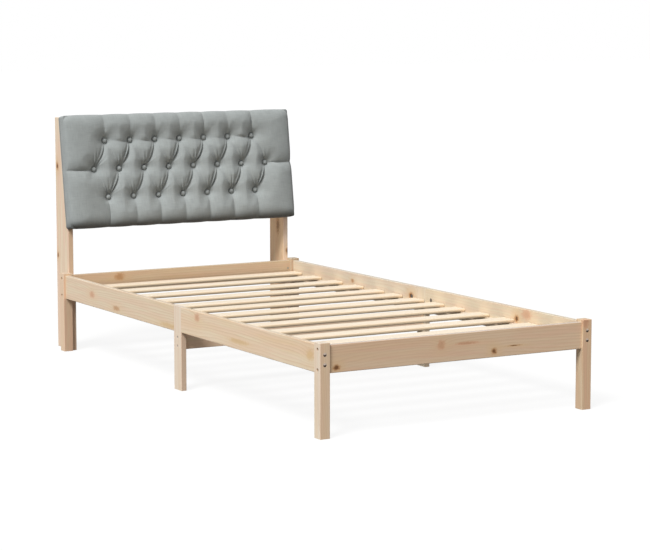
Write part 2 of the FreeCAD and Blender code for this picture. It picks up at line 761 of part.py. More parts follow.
# The panel's recess in the back of the cushion, and a pocket for each button
gap = now("sizes.soft_clearance")
recess_side = now("sizes.panel_setback") - gap
recess = Part.makeBox(
    2 * (cushion_end - recess_side),
    now("sizes.panel_thickness + sizes.cut_overrun"),
    cushion_high - cushion_low - 2 * recess_side,
    V(recess_side - cushion_end, -now("sizes.panel_thickness"), cushion_low + recess_side),
)
pocket_floor = now("sizes.tuft_depth - sizes.button_sink")
pockets = [
    Part.makeCylinder(button_half + gap, crown, V(now(x), -pocket_floor, now(up)), V(0, -1, 0))
    for x, up in button_places
]
cushion = doc.addObject("Part::Feature", "cushion_form")
cushion.Shape = cushion_body.cut([recess] + pockets)
slope_start = V(*(now(text) for text in on_slope("0", "0", "0")))
cushion.Placement = FreeCAD.Placement(slope_start, headboard_turn)

# The finished pieces: boards with their holes, groups of like fasteners, and the cushion
nodes = {}
for label, body in boards.items():
    holes = drills[label]
    tool = holes[0] if len(holes) == 1 else fused(label + "_holes", holes)
    nodes[label] = cut(label + "_piece", body, tool)
for group, fasteners in groups.items():
    nodes[group] = doc.addObject("Part::Compound", group + "_set")
    nodes[group].Links = fasteners
nodes["headboard_cushion"] = cushion
doc.recompute()

for obj in doc.Objects:
    if "Invalid" in obj.State or "Error" in obj.State:
        raise RuntimeError("%s could not be computed: %s" % (obj.Name, obj.State))
os.makedirs("parts", exist_ok=True)
for label, piece in nodes.items():
    piece.Label = label
    if piece.Shape.isNull() or not piece.Shape.isValid():
        raise RuntimeError("%s has no valid shape" % label)
    piece.Shape.exportStep("parts/%s.step" % label)
    print("%s: %d solids, %.1f cm3" % (label, len(piece.Shape.Solids), piece.Shape.Volume / 1000))
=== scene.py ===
import math
import random

import bmesh
import bpy
import numpy as np
from mathutils import Matrix, Vector


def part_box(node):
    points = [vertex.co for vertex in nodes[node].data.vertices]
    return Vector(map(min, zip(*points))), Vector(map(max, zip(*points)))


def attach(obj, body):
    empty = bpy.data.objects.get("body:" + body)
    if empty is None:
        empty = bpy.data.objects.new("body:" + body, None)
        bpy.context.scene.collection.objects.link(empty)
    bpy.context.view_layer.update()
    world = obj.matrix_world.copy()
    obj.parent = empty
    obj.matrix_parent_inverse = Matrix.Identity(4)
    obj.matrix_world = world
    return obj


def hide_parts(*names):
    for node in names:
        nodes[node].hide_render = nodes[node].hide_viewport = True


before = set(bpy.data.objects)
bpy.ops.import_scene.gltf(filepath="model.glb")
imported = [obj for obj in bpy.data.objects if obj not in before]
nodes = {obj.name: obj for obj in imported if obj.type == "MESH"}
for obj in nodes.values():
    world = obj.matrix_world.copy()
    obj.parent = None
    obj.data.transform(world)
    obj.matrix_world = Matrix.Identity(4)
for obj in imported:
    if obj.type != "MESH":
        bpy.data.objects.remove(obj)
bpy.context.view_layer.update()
print("frame loaded:", len(nodes), "nodes")


# Small helpers for editing and for node trees

def deselectAll():
    if bpy.context.mode != "OBJECT":
        bpy.ops.object.mode_set(mode="OBJECT")
    bpy.ops.object.select_all(action="DESELECT")


def activate(piece):
    deselectAll()
    piece.select_set(True)
    bpy.context.view_layer.objects.active = piece


def settle(piece):
    # the place and turn go into the mesh, so that the object sits at the origin
    activate(piece)
    bpy.ops.object.transform_apply(location=True, rotation=True, scale=True)


def smooth(piece, degrees):
    activate(piece)
    bpy.ops.object.shade_smooth_by_angle(angle=math.radians(degrees))


def mix(start, end, share):
    return start + (end - start) * share


# most values of a noise lie between these
noiseSpan = (0.3, 0.7)


class Wiring:
    # a thin wrapper that adds and joins shader nodes
    def __init__(self, tree):
        self.tree = tree
        self.tree.nodes.clear()

    def add(self, kind, **settings):
        node = self.tree.nodes.new("ShaderNode" + kind)
        for name, value in settings.items():
            setattr(node, name, value)
        return node

    def feed(self, socket, value):
        if isinstance(value, bpy.types.NodeSocket):
            self.tree.links.new(value, socket)
        elif value is not None:
            socket.default_value = value

    def math(self, operation, first, second=0.0, third=0.0):
        node = self.add("Math", operation=operation)
        for socket, value in zip(node.inputs, (first, second, third)):
            self.feed(socket, value)
        return node.outputs[0]

    def vectorMath(self, operation, first, second=None):
        node = self.add("VectorMath", operation=operation)
        self.feed(node.inputs[0], first)
        self.feed(node.inputs[1], second)
        return node.outputs["Value" if operation in ("LENGTH", "DOT_PRODUCT") else "Vector"]

    def noise(self, vector, scale, detail=2.0, roughness=0.5):
        node = self.add("TexNoise")
        self.feed(node.inputs["Vector"], vector)
        self.feed(node.inputs["Scale"], scale)
        self.feed(node.inputs["Detail"], detail)
        self.feed(node.inputs["Roughness"], roughness)
        return node.outputs["Fac"]

    def stretched(self, vector, scale):
        node = self.add("Mapping")
        self.feed(node.inputs["Vector"], vector)
        node.inputs["Scale"].default_value = scale
        return node.outputs["Vector"]

    def remap(self, value, low, high, toLow=0.0, toHigh=1.0, smoothly=True):
        node = self.add("MapRange", interpolation_type="SMOOTHSTEP" if smoothly else "LINEAR")
        for name, number in (("Value", value), ("From Min", low), ("From Max", high),
                             ("To Min", toLow), ("To Max", toHigh)):
            self.feed(node.inputs[name], number)
        return node.outputs["Result"]

    def blend(self, factor, first, second, mode="MIX"):
        node = self.add("Mix", data_type="RGBA", blend_type=mode)
        self.feed(node.inputs[0], factor)
        self.feed(node.inputs[6], first)
        self.feed(node.inputs[7], second)
        return node.outputs[2]

    def group(self, tree, **inputs):
        node = self.tree.nodes.new("ShaderNodeGroup")
        node.node_tree = tree
        for name, value in inputs.items():
            self.feed(node.inputs[name], value)
        return node.outputs

    def bump(self, height, strength, distance, normal=None):
        node = self.add("Bump")
        node.inputs["Strength"].default_value = strength
        node.inputs["Distance"].default_value = distance
        self.feed(node.inputs["Height"], height)
        if normal is not None:
            self.feed(node.inputs["Normal"], normal)
        return node.outputs["Normal"]


def newGroup(name, inputs, outputs):
    tree = bpy.data.node_groups.new(name, "ShaderNodeTree")
    for label, kind in inputs:
        tree.interface.new_socket(label, in_out="INPUT", socket_type="NodeSocket" + kind)
    for label, kind in outputs:
        tree.interface.new_socket(label, in_out="OUTPUT", socket_type="NodeSocket" + kind)
    wires = Wiring(tree)
    start = tree.nodes.new("NodeGroupInput").outputs
    end = tree.nodes.new("NodeGroupOutput").inputs
    return tree, wires, start, end


def newMaterial(name):
    material = bpy.data.materials.new(name)
    material.use_nodes = True
    wires = Wiring(material.node_tree)
    shader = wires.add("BsdfPrincipled")
    output = wires.add("OutputMaterial")
    wires.feed(output.inputs["Surface"], shader.outputs["BSDF"])
    return material, wires, shader


def dress(piece, material):
    piece.data.materials.clear()
    piece.data.materials.append(material)


# Pine: growth rings round a pith beside or inside the board, fine fibres along it, and knots

pine = {
    "cream": (0.80, 0.665, 0.49, 1.0),
    "late": (0.62, 0.42, 0.235, 1.0),
    "honey": (0.76, 0.52, 0.28, 1.0),
    "blush": (0.80, 0.585, 0.43, 1.0),
    "knotPale": (0.70, 0.47, 0.215, 1.0),
    "knotPink": (0.66, 0.33, 0.19, 1.0),
    "knotRim": (0.50, 0.235, 0.085, 1.0),
    "knotHeart": (0.125, 0.048, 0.012, 1.0),
    "ringGap": 0.0085,
    "honeyTone": (0.42, 0.75),
    "blushPatch": (0.40, 0.62),
    "fibreShade": (0.93, 1.05),
    # where the painted shading of the tops starts and is full, by how far a face looks up
    "paintedTopFrom": (0.5, 0.9),
    # how strongly a knot's halo and rim show: at least, and how much more where it is dead
    "haloShare": (0.15, 0.35),
    "rimShare": (0.6, 0.25),
    "roughness": (0.58, 0.42),
    "specular": 0.35,
    "relief": (0.35, 0.0004),
}
# the noises are stretched along the board, which lies along X here
ringPattern = {
    "slow": (1.1, 9.0, 9.0),
    "slowShift": 0.055,
    "wavy": (5.0, 34.0, 34.0),
    "wavyShift": 0.006,
    "steepness": 2.6,
    "fall": 0.9,
    "width": (0.8, 40.0, 40.0),
    "thinnest": 0.45,
    "fibre": (14.0, 900.0, 900.0),
    "tone": (1.6, 26.0, 26.0),
    "patch": (4.0, 60.0, 60.0),
    # how far a board's pattern is shifted along it, and where its pith runs: drawn from ranges
    "shift": (-9, 9),
    "pithBeside": (0.02, 0.05),
    "pithBelow": (0.05, 0.1),
}
# where each part of a knot starts and is at its full strength, in radii of the knot
knotPattern = {
    "halo": (4.6, 1.0),
    "rim": (1.7, 0.6),
    "heart": (1.0, 0.35),
    "unevenScale": 130.0,
    "uneven": 1.3,
    "swirlBase": 2.718,
    "swirlFade": -0.55,
    "swirl": 1.6,
}


def buildRingGroup():
    # Place has the board's length along X; Pith is where the rings' centre runs
    tree, w, start, end = newGroup(
        "growthRings",
        [("Place", "Vector"), ("Pith", "Vector"), ("Gap", "Float"), ("Swirl", "Float")],
        [("Late Wood", "Float"), ("Fibre", "Float"), ("Tone", "Float"), ("Patch", "Float")],
    )
    place = start["Place"]
    slow = w.noise(w.stretched(place, ringPattern["slow"]), 1.0, 2.0)
    wavy = w.noise(w.stretched(place, ringPattern["wavy"]), 1.0, 2.0)
    away = w.vectorMath("SUBTRACT", place, start["Pith"])
    radius = w.vectorMath("LENGTH", w.vectorMath("MULTIPLY", away, (0.0, 1.0, 1.0)))
    radius = w.math("MULTIPLY_ADD", slow, ringPattern["slowShift"], radius)
    radius = w.math("MULTIPLY_ADD", wavy, ringPattern["wavyShift"], radius)
    radius = w.math("ADD", radius, start["Swirl"])
    phase = w.math("FRACT", w.math("DIVIDE", radius, start["Gap"]))
    rising = w.math("POWER", phase, ringPattern["steepness"])
    falling = w.remap(phase, ringPattern["fall"], 1.0, 1.0, 0.0)
    late = w.math("MULTIPLY", rising, falling)
    width = w.noise(w.stretched(place, ringPattern["width"]), 1.0, 1.0)
    width = w.remap(width, *noiseSpan, ringPattern["thinnest"], 1.0)
    w.feed(end["Late Wood"], w.math("MULTIPLY", late, width))
    w.feed(end["Fibre"], w.noise(w.stretched(place, ringPattern["fibre"]), 1.0, 3.0, 0.6))
    w.feed(end["Tone"], w.noise(w.stretched(place, ringPattern["tone"]), 1.0, 3.0, 0.55))
    w.feed(end["Patch"], w.noise(w.stretched(place, ringPattern["patch"]), 1.0, 2.0, 0.5))
    return tree


def buildKnotGroup():
    # Halo, Rim and Heart are the knot's coloured parts; Swirl bends the rings round it
    tree, w, start, end = newGroup(
        "knot",
        [("Place", "Vector"), ("Centre", "Vector"), ("Radius", "Float"), ("Stretch", "Float")],
        [("Halo", "Float"), ("Rim", "Float"), ("Heart", "Float"), ("Swirl", "Float")],
    )
    offset = w.vectorMath("SUBTRACT", start["Place"], start["Centre"])
    parts = w.add("SeparateXYZ")
    w.feed(parts.inputs[0], offset)
    along = w.math("DIVIDE", parts.outputs["X"], start["Stretch"])
    joined = w.add("CombineXYZ")
    w.feed(joined.inputs["X"], along)
    w.feed(joined.inputs["Y"], parts.outputs["Y"])
    w.feed(joined.inputs["Z"], parts.outputs["Z"])
    uneven = w.noise(start["Place"], knotPattern["unevenScale"], 2.0)
    uneven = w.math("MULTIPLY_ADD", uneven, knotPattern["uneven"], -knotPattern["uneven"] / 2)
    distance = w.vectorMath("LENGTH", joined.outputs[0])
    distance = w.math("ADD", w.math("DIVIDE", distance, start["Radius"]), uneven)
    w.feed(end["Halo"], w.remap(distance, *knotPattern["halo"]))
    w.feed(end["Rim"], w.remap(distance, *knotPattern["rim"]))
    w.feed(end["Heart"], w.remap(distance, *knotPattern["heart"]))
    fade = w.math("MULTIPLY", distance, knotPattern["swirlFade"])
    reach = w.math("POWER", knotPattern["swirlBase"], fade)
    swirl = w.math("MULTIPLY", start["Radius"], knotPattern["swirl"])
    w.feed(end["Swirl"], w.math("MULTIPLY", reach, swirl))
    return tree


ringGroup = buildRingGroup()
knotGroup = buildKnotGroup()

# how a board's length is turned onto X for the rings: the axis and the angle
grainTurns = {"x": ("X", 0), "y": ("Z", -90), "z": ("Y", 90)}
# a board without a look of its own; a knot is its place in the bed, its radius, how far it is
# stretched along the board, how dead its heart is and the colour of its rim
plainBoard = {
    "honey": 0.35,
    "blush": 0.55,
    "late": 0.42,
    # how much of the painted shading falls on the faces towards the foot and the head
    "front": 0.8,
    "frontPaintedShading": (0.97, 0.86, 0.80, 1.0),
    "topPaintedShading": (0.80, 0.83, 0.88, 1.0),
    "toneAndPaintedShading": (1.0, 1.0, 1.0, 1.0),
    "knots": (),
}


def pineMaterial(name, grain, own, seed):
    material, w, shader = newMaterial(name)
    look = {**plainBoard, **own}
    dice = random.Random(seed)
    axis, angle = grainTurns[grain]
    spin = Matrix.Rotation(math.radians(angle), 4, axis)
    where = w.add("TexCoord")
    turned = w.add("Mapping", vector_type="POINT")
    w.feed(turned.inputs["Vector"], where.outputs["Object"])
    turned.inputs["Rotation"].default_value["XYZ".index(axis)] = math.radians(angle)
    place = turned.outputs["Vector"]
    shift = dice.uniform(*ringPattern["shift"])
    shifted = w.vectorMath("ADD", place, (shift, 0.0, 0.0))
    swirl = None
    knots = []
    for centre, radius, stretch, heart, rim in look["knots"]:
        knot = w.group(knotGroup, Place=place, Centre=(spin @ Vector(centre))[:], Radius=radius,
                       Stretch=stretch)
        swirl = knot["Swirl"] if swirl is None else w.math("ADD", swirl, knot["Swirl"])
        knots.append((knot, heart, pine[rim]))
    # the pith runs below the board, to one side
    beside = dice.choice((-1, 1)) * dice.uniform(*ringPattern["pithBeside"])
    below = dice.uniform(*ringPattern["pithBelow"])
    pith = spin @ Vector(look["middle"]) + Vector((0.0, beside, -below))
    rings = w.group(ringGroup, Place=shifted, Pith=pith[:], Gap=pine["ringGap"], Swirl=swirl)
    honey = w.remap(rings["Tone"], *pine["honeyTone"], 0.0, look["honey"])
    colour = w.blend(honey, pine["cream"], pine["honey"])
    blush = w.remap(rings["Patch"], *pine["blushPatch"], 0.0, look["blush"])
    colour = w.blend(blush, colour, pine["blush"])
    late = w.math("MULTIPLY", rings["Late Wood"], look["late"])
    colour = w.blend(late, colour, pine["late"])
    fibre = w.remap(rings["Fibre"], 0.25, 0.75, *pine["fibreShade"], smoothly=False)
    colour = w.blend(1.0, colour, fibre, "MULTIPLY")
    # painted shading: the faces towards the foot and the head, and the tops, get tints that stand
    # in for how the light falls on them
    normal = w.add("NewGeometry").outputs["Normal"]
    flat = w.math("ABSOLUTE", w.vectorMath("DOT_PRODUCT", normal, (0.0, 1.0, 0.0)))
    frontPaintedColour = w.blend(1.0, colour, look["frontPaintedShading"], "MULTIPLY")
    colour = w.blend(w.math("MULTIPLY", flat, look["front"]), colour, frontPaintedColour)
    paintedTopMask = w.remap(w.vectorMath("DOT_PRODUCT", normal, (0.0, 0.0, 1.0)), *pine["paintedTopFrom"])
    colour = w.blend(paintedTopMask, colour, w.blend(1.0, colour, look["topPaintedShading"], "MULTIPLY"))
    # each board's own tone; on some boards it also holds painted shade or painted light
    colour = w.blend(1.0, colour, look["toneAndPaintedShading"], "MULTIPLY")
    for knot, heart, rim in knots:
        # a sound knot is hardly darker than the wood; a dead one is dark, with a glow round it
        least, more = pine["haloShare"]
        halo = w.math("MULTIPLY", knot["Halo"], least + more * heart)
        colour = w.blend(halo, colour, pine["honey"])
        least, more = pine["rimShare"]
        colour = w.blend(w.math("MULTIPLY", knot["Rim"], least + more * heart), colour, rim)
        colour = w.blend(w.math("MULTIPLY", knot["Heart"], heart), colour, pine["knotHeart"])
    w.feed(shader.inputs["Base Color"], colour)
    w.feed(shader.inputs["Roughness"], w.remap(rings["Late Wood"], 0.0, 1.0, *pine["roughness"]))
    shader.inputs["Specular IOR Level"].default_value = pine["specular"]
    height = w.math("MULTIPLY", rings["Late Wood"], 0.5)
    height = w.math("MULTIPLY_ADD", rings["Fibre"], 0.5, height)
    w.feed(shader.inputs["Normal"], w.bump(height, *pine["relief"]))
    return material


def middleOf(name):
    low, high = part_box(name)
    return ((low + high) / 2)[:]


# Each board's own tone and knots, with painted shade or light on some; a knot's place is where
# it shows on the board
boardLooks = {
    "foot_rail": ("x", {"front": 0.95, "late": 0.62, "topPaintedShading": (0.73, 0.79, 0.96, 1.0),
                        "knots": [
        ((-0.0705, -1.075, 0.266), 0.013, 1.0, 0.12, "knotPink"),
        ((0.027, -1.075, 0.264), 0.0042, 9.0, 0.15, "knotPink"),
        ((0.136, -1.075, 0.229), 0.0095, 1.1, 0.8, "knotRim"),
        ((0.216, -1.075, 0.2415), 0.0018, 13.0, 0.8, "knotRim"),
        ((-0.464, -1.075, 0.2245), 0.0082, 1.4, 0.9, "knotRim"),
    ]}),
    "head_rail": ("x", {"honey": 0.5, "late": 0.7, "toneAndPaintedShading": (0.86, 0.88, 0.86, 1.0), "knots": [
        ((-0.283, 0.945, 0.2795), 0.012, 1.5, 0.15, "knotRim"),
    ]}),
    "side_rail_left_head": ("y", {"honey": 0.55, "late": 0.75, "knots": [
        ((-0.52, 0.682, 0.255), 0.011, 1.6, 0.1, "knotPink"),
        ((-0.52, 0.462, 0.2285), 0.008, 3.0, 0.1, "knotRim"),
        ((-0.52, 0.0175, 0.222), 0.007, 9.0, 0.05, "knotPale"),
    ]}),
    "side_rail_left_foot": ("y", {"honey": 0.55, "late": 0.75, "toneAndPaintedShading": (1.05, 1.05, 1.05, 1.0),
                                  "knots": [
        ((-0.52, -0.209, 0.279), 0.012, 1.3, 0.12, "knotPink"),
        ((-0.52, -0.518, 0.236), 0.007, 9.0, 0.05, "knotPale"),
        ((-0.52, -1.004, 0.259), 0.014, 1.4, 0.0, "knotPale"),
    ]}),
    "side_rail_right_foot": ("y", {"honey": 0.25, "toneAndPaintedShading": (0.93, 0.96, 0.97, 1.0), "knots": [
        ((0.50, -0.680, 0.2605), 0.011, 1.0, 1.0, "knotRim"),
        ((0.50, -0.740, 0.281), 0.015, 1.6, 0.05, "knotPink"),
    ]}),
    "side_rail_right_head": ("y", {"honey": 0.4, "toneAndPaintedShading": (0.88, 0.92, 0.97, 1.0), "knots": [
        ((0.50, 0.452, 0.268), 0.007, 1.4, 0.3, "knotRim"),
        # painted shade: a dark knot at a cam lock's hole that widens the shade of the hole
        ((0.50, 0.018, 0.260), 0.0108, 1.2, 1.0, "knotRim"),
    ]}),
    "leg_foot_left": ("z", {"blush": 0.4, "front": 0.85, "frontPaintedShading": (0.94, 0.81, 0.70, 1.0),
                            "toneAndPaintedShading": (1.08, 1.13, 1.22, 1.0)}),
    "leg_foot_right": ("z", {"blush": 0.8, "late": 0.6, "frontPaintedShading": (1.07, 0.94, 0.89, 1.0),
                             "toneAndPaintedShading": (0.90, 0.86, 0.80, 1.0), "knots": [
        ((0.5005, -1.0825, 0.298), 0.013, 1.3, 0.12, "knotPink"),
    ]}),
    # painted light: the beam is lightened where it lies in the shade under the slats
    "middle_cross_beam": ("x", {"honey": 0.45, "front": 0.5, "toneAndPaintedShading": (1.18, 1.20, 1.24, 1.0)}),
    "leg_head_left": ("z", {"blush": 0.8, "toneAndPaintedShading": (1.03, 1.0, 0.98, 1.0)}),
    # painted shade: this leg is darkened for the shade it stands in
    "leg_head_right": ("z", {"honey": 0.6, "late": 0.6, "toneAndPaintedShading": (0.74, 0.75, 0.74, 1.0)}),
    # painted shade: this leg is darkened a little for the shade under the slats and the rail
    "middle_leg_right": ("z", {"blush": 0.3, "toneAndPaintedShading": (0.90, 0.95, 1.0, 1.0)}),
    "middle_leg_left": ("z", {"blush": 0.4, "front": 0.9, "frontPaintedShading": (0.92, 0.82, 0.74, 1.0),
                              "toneAndPaintedShading": (1.07, 1.09, 1.18, 1.0)}),
    # the post's own orange tone, with painted light on its front where the cushion's shadow falls
    "head_post_right": ("z", {"honey": 0.6, "late": 0.7, "toneAndPaintedShading": (1.30, 1.12, 0.96, 1.0),
                              "front": 1.0, "frontPaintedShading": (0.95, 1.06, 1.32, 1.0), "knots": [
        ((0.4715, 1.014, 0.440), 0.012, 2.6, 0.45, "knotRim"),
        ((0.4915, 0.965, 0.336), 0.007, 1.8, 1.0, "knotRim"),
    ]}),
    "head_post_left": ("z", {"blush": 0.9, "late": 0.55, "toneAndPaintedShading": (1.06, 1.06, 1.09, 1.0),
                             "front": 0.9, "frontPaintedShading": (0.88, 0.79, 0.74, 1.0), "knots": [
        ((-0.4915, 1.065, 0.720), 0.009, 1.5, 0.9, "knotRim"),
        ((-0.4915, 1.070, 0.366), 0.007, 1.5, 0.7, "knotRim"),
    ]}),
}
# painted shade: the slats' faces towards the foot and the head are warmer, for their shaded fronts
slatLook = {"honey": 0.10, "late": 0.24, "blush": 0.15, "frontPaintedShading": (1.0, 0.90, 0.76, 1.0),
            "topPaintedShading": (1.0, 1.0, 1.0, 1.0), "toneAndPaintedShading": (1.03, 1.08, 1.16, 1.0)}
# painted shade: the ledgers' sides are darker and their tops paler, for the shade between the
# slats
ledgerLook = {"honey": 0.2, "late": 0.4, "topPaintedShading": (0.95, 1.05, 1.25, 1.0),
              "toneAndPaintedShading": (0.85, 0.82, 0.78, 1.0)}


def boardLook(name):
    # the grain's axis and the look of a node, or None where the node is no board
    if name in boardLooks:
        return boardLooks[name]
    if name.endswith("screws"):
        return None
    if name.startswith("slat_ledger"):
        return "y", ledgerLook
    if name.startswith("slat_"):
        return "x", slatLook
    return None


def dressBoards():
    count = 0
    # the seeds of all the boards come from the place of their names in the alphabet
    for seed, name in enumerate(sorted(nodes)):
        found = boardLook(name)
        if found:
            grain, look = found
            look = {**look, "middle": middleOf(name)}
            dress(nodes[name], pineMaterial("pine_" + name, grain, look, seed))
            count += 1
    print("boards dressed:", count)


dressBoards()


# Plywood panel: a pale face veneer with broad streaks

plywood = {
    "face": (0.70, 0.55, 0.37, 1.0),
    "streak": (0.56, 0.39, 0.22, 1.0),
    "streaks": 0.6,
    "patches": 0.4,
    "pith": (0.0, 0.2, 0.6),
    "ringGap": 0.016,
    "roughness": (0.55, 0.75),
    "relief": (0.3, 0.0004),
}


def plywoodMaterial():
    material, w, shader = newMaterial("plywoodPanel")
    where = w.add("TexCoord").outputs["Object"]
    rings = w.group(ringGroup, Place=where, Pith=plywood["pith"], Gap=plywood["ringGap"])
    streaks = w.math("MULTIPLY", rings["Late Wood"], plywood["streaks"])
    colour = w.blend(streaks, plywood["face"], plywood["streak"])
    patches = w.remap(rings["Tone"], 0.4, 0.7, 0.0, plywood["patches"])
    colour = w.blend(patches, colour, plywood["streak"])
    w.feed(shader.inputs["Base Color"], colour)
    w.feed(shader.inputs["Roughness"], w.remap(rings["Fibre"], 0.2, 0.8, *plywood["roughness"]))
    w.feed(shader.inputs["Normal"], w.bump(rings["Fibre"], *plywood["relief"]))
    return material


dress(nodes["headboard_panel"], plywoodMaterial())

# Metal: zinc-plated screws and bolts, dull cast cam locks, screws painted dark for the shade in
# their holes, and screw heads with a painted highlight

metals = {
    # painted highlight on the socketed heads: socket is paler in the socket, sheen on the upper
    # half
    "socket": (0.82, 0.72, 0.65, 1.0),
    "sheen": (0.58, 0.48, 0.40, 1.0),
    "headRadius": 0.0065,
    "socketDepth": (0.0003, 0.0014),
    "paintedLitHalf": (-0.4, 0.5),
    "blotchScale": 420.0,
    "shadeScale": 160.0,
    "shade": (0.82, 1.08),
    "relief": (0.15, 0.0002),
    "bright": {"colour": (0.50, 0.50, 0.49, 1.0), "rough": (0.25, 0.45), "metallic": 1.0},
    # painted shade: the screws in the legs' sides are dark for the shade of their holes
    "dark": {"colour": (0.03, 0.022, 0.018, 1.0), "rough": (0.6, 0.8), "metallic": 0.0},
    "cast": {"colour": (0.22, 0.20, 0.18, 1.0), "rough": (0.4, 0.62), "metallic": 0.9},
    # the dark base of the socketed heads: painted shade on their lower halves and round them
    "paintedShadeBase": {"colour": (0.06, 0.04, 0.03, 1.0), "rough": (0.3, 0.5), "metallic": 0.9},
}
metalNodes = {
    "leg_side_screws": "dark",
    "cross_beam_screws": "bright",
    "head_post_screws": "bright",
    "ledger_screws": "bright",
    "slat_screws": "bright",
    "rail_joint_bolts": "bright",
    "headboard_bolts": "bright",
    "headboard_tee_nuts": "bright",
    "rail_cam_locks": "cast",
}


def headMasks(w, where, name, radius):
    # for screws that lie along Y in an upper and a lower row, with heads at the ends of the node's
    # box: the first mask is 1 in their sockets, the second is 1 on the upper half of their heads,
    # where the painted highlight goes
    low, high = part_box(name)
    parts = w.add("SeparateXYZ")
    w.feed(parts.inputs[0], where)
    along = parts.outputs["Y"]
    depth = w.math("MINIMUM", w.math("SUBTRACT", along, low.y), w.math("SUBTRACT", high.y, along))
    isUpper = w.math("GREATER_THAN", parts.outputs["Z"], (low.z + high.z) / 2)
    row = w.remap(isUpper, 0.0, 1.0, low.z + radius, high.z - radius, smoothly=False)
    above = w.math("SUBTRACT", parts.outputs["Z"], row)
    start, end = metals["paintedLitHalf"]
    return w.remap(depth, *metals["socketDepth"]), w.remap(above, start * radius, end * radius)


def metalMaterial(name, look, sockets=None):
    material, w, shader = newMaterial(name + "Metal")
    where = w.add("TexCoord").outputs["Object"]
    blotch = w.noise(where, metals["blotchScale"], 3.0)
    shade = w.noise(where, metals["shadeScale"], 2.0)
    shade = w.remap(shade, *noiseSpan, *metals["shade"], smoothly=False)
    colour = w.blend(1.0, look["colour"], shade, "MULTIPLY")
    if sockets:
        socket, upper = headMasks(w, where, sockets, metals["headRadius"])
        # painted highlight on the upper half of each head, paler in its socket; the rest is
        # painted shade
        colour = w.blend(upper, colour, metals["sheen"])
        colour = w.blend(w.math("MULTIPLY", socket, upper), colour, metals["socket"])
    w.feed(shader.inputs["Base Color"], colour)
    w.feed(shader.inputs["Roughness"], w.remap(blotch, *noiseSpan, *look["rough"]))
    shader.inputs["Metallic"].default_value = look["metallic"]
    w.feed(shader.inputs["Normal"], w.bump(blotch, *metals["relief"]))
    return material


metalMaterials = {name: metalMaterial(name, metals[name]) for name in ("bright", "dark", "cast")}
for nodeName, metal in metalNodes.items():
    dress(nodes[nodeName], metalMaterials[metal])
dress(nodes["leg_face_screws"], metalMaterial("paintedLitHeads", metals["paintedShadeBase"], "leg_face_screws"))
dowelLook = {"middle": middleOf("rail_dowels"), "toneAndPaintedShading": (0.9, 0.82, 0.72, 1.0)}
dowelSeed = 77
dress(nodes["rail_dowels"], pineMaterial("pine_dowels", "y", dowelLook, dowelSeed))
print("metal dressed:", len(metalNodes) + 1)

# Fabric: a plain weave with paler and darker threads, read from the cover's own UV map in metres

fabric = {
    "pale": (0.388, 0.415, 0.408, 1.0),
    "deep": (0.306, 0.329, 0.324, 1.0),
    # the colour of the painted shade at the cloth's borders
    "shade": (0.03, 0.03, 0.03, 1.0),
    "threadGap": 0.0011,
    "slub": (26.0, 420.0, 1.0),
    "mottleScale": 28.0,
    "mottle": (0.95, 1.04),
    # painted shade where the cloth turns under at the bottom and behind at the sides, along the
    # cover: from, to and how dark
    "paintedUnderShade": (0.064, 0.002, 0.86),
    "paintedLeftShade": (-0.522, -0.540, 0.4),
    "paintedRightShade": (0.484, 0.500, 0.6),
    "roughness": (0.95, 0.8),
    "specular": 0.2,
    "sheen": 0.2,
    "sheenRoughness": 0.5,
    "slubRelief": (0.5, 0.0006),
    "weaveRelief": (0.3, 0.0003),
}


def buildWeaveGroup():
    tree, w, start, end = newGroup(
        "plainWeave", [("Place", "Vector"), ("Gap", "Float")],
        [("Height", "Float"), ("Slub", "Float"), ("Mottle", "Float")],
    )
    parts = w.add("SeparateXYZ")
    w.feed(parts.inputs[0], start["Place"])
    turnsPer = w.math("DIVIDE", 2 * math.pi, start["Gap"])
    warp = w.math("SINE", w.math("MULTIPLY", parts.outputs["X"], turnsPer))
    weft = w.math("SINE", w.math("MULTIPLY", parts.outputs["Y"], turnsPer))
    w.feed(end["Height"], w.math("MULTIPLY", warp, weft))
    long, thin, deep = fabric["slub"]
    across = w.noise(w.stretched(start["Place"], (long, thin, deep)), 1.0, 2.0)
    upwards = w.noise(w.stretched(start["Place"], (thin, long, deep)), 1.0, 2.0)
    w.feed(end["Slub"], w.math("MULTIPLY", w.math("ADD", across, upwards), 0.5))
    w.feed(end["Mottle"], w.noise(start["Place"], fabric["mottleScale"], 4.0, 0.6))
    return tree


weaveGroup = buildWeaveGroup()


